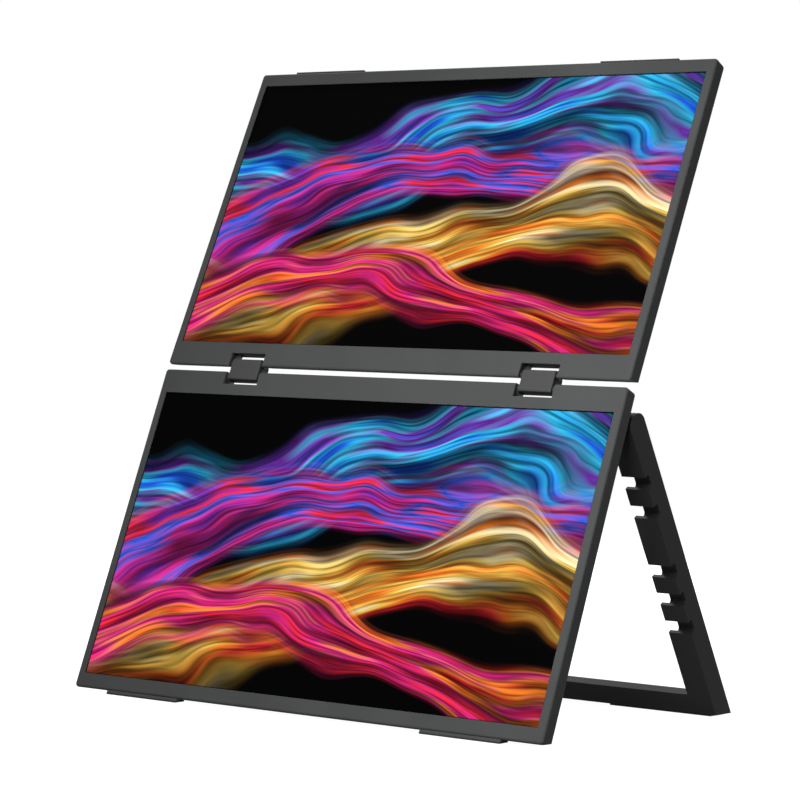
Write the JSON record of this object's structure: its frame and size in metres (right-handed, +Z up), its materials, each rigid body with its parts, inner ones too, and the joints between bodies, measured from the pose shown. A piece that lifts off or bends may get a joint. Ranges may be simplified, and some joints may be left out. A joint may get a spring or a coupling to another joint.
{
  "type": "dual portable monitor",
  "caption": "Stacked pair of thin dark grey portable screens joined by double-axis hinge blocks, held up by a slotted U-shaped folding rear stand.",
  "frame": {"origin": "on the table, at the middle of the object's footprint", "axes": "+X to the viewer's right along the hinge axes, +Y from the screens to the stand, +Z up"},
  "size_m": [0.355, 0.2212, 0.4091],
  "materials": {
    "shell": "fine matte dark grey",
    "screen_glass": "smooth dark glass",
    "backlight": "white light guide",
    "circuit": "green solder mask",
    "chip": "black moulded package",
    "steel": "dark plated steel",
    "hinge_metal": "matte dark grey",
    "stand_metal": "matte dark grey powder coat",
    "rubber": "soft matte black",
    "port_metal": "plated shell",
    "key": "satin dark grey",
    "lamp": "clear light pipe",
    "bush": "white bearing plastic"
  },
  "bodies": {
    "lower_screen": {"lower_bezel": "shell", "lower_rear_cover": "shell", "lower_lcd_panel": "screen_glass", "lower_backlight": "backlight", "lower_timing_board": "circuit", "lower_hinge_brackets": "steel", "lower_bracket_screws": "steel", "lower_feet": "rubber", "rear_housing": "shell", "housing_screws": "steel", "main_board": "circuit", "board_chips": "chip", "board_screws": "steel", "usb_c_ports": "port_metal", "mini_hdmi_port": "port_metal", "audio_jack": "chip", "push_switches": "chip", "status_lamp": "lamp", "speakers": "chip", "stand_pivot_blocks": "steel", "stand_pivot_pins": "steel"},
    "hinge_links": {"hinge_link_left": "hinge_metal", "hinge_link_right": "hinge_metal", "lower_hinge_shafts": "steel", "upper_hinge_shafts": "steel"},
    "upper_screen": {"upper_bezel": "shell", "upper_rear_cover": "shell", "upper_lcd_panel": "screen_glass", "upper_backlight": "backlight", "upper_timing_board": "circuit", "upper_hinge_brackets": "steel", "upper_bracket_screws": "steel", "upper_edge_pads": "rubber"},
    "kickstand": {"kickstand_frame": "stand_metal", "stand_bushes": "bush", "stand_foot_pads": "rubber"},
    "power_key": {"power_button": "key"},
    "menu_key": {"menu_button": "key"},
    "plus_key": {"plus_button": "key"},
    "minus_key": {"minus_button": "key"}
  },
  "joints": [
    {"name": "fold_lower", "type": "hinge", "parent": "lower_screen", "child": "hinge_links", "pos_m": [0, -0.02455, 0.20221], "axis": [1, 0, 0], "range_deg": [-28, 91.5]},
    {"name": "fold_upper", "type": "hinge", "parent": "hinge_links", "child": "upper_screen", "pos_m": [0, -0.02104, 0.21028], "axis": [1, 0, 0], "range_deg": [-28, 91.5]},
    {"name": "stand_swing", "type": "hinge", "parent": "lower_screen", "child": "kickstand", "pos_m": [0, -0.01375, 0.18221], "axis": [1, 0, 0], "range_deg": [-54.3, 15]},
    {"name": "power_press", "type": "slide", "parent": "lower_screen", "child": "power_key", "axis": [1, 0, 0], "range_m": [0, 0.0006], "stiffness_N_per_m": 1500, "springref_m": -0.0003},
    {"name": "menu_press", "type": "slide", "parent": "lower_screen", "child": "menu_key", "axis": [1, 0, 0], "range_m": [0, 0.0006], "stiffness_N_per_m": 1500, "springref_m": -0.0003},
    {"name": "plus_press", "type": "slide", "parent": "lower_screen", "child": "plus_key", "axis": [1, 0, 0], "range_m": [0, 0.0006], "stiffness_N_per_m": 1500, "springref_m": -0.0003},
    {"name": "minus_press", "type": "slide", "parent": "lower_screen", "child": "minus_key", "axis": [1, 0, 0], "range_m": [0, 0.0006], "stiffness_N_per_m": 1500, "springref_m": -0.0003}
  ]
}
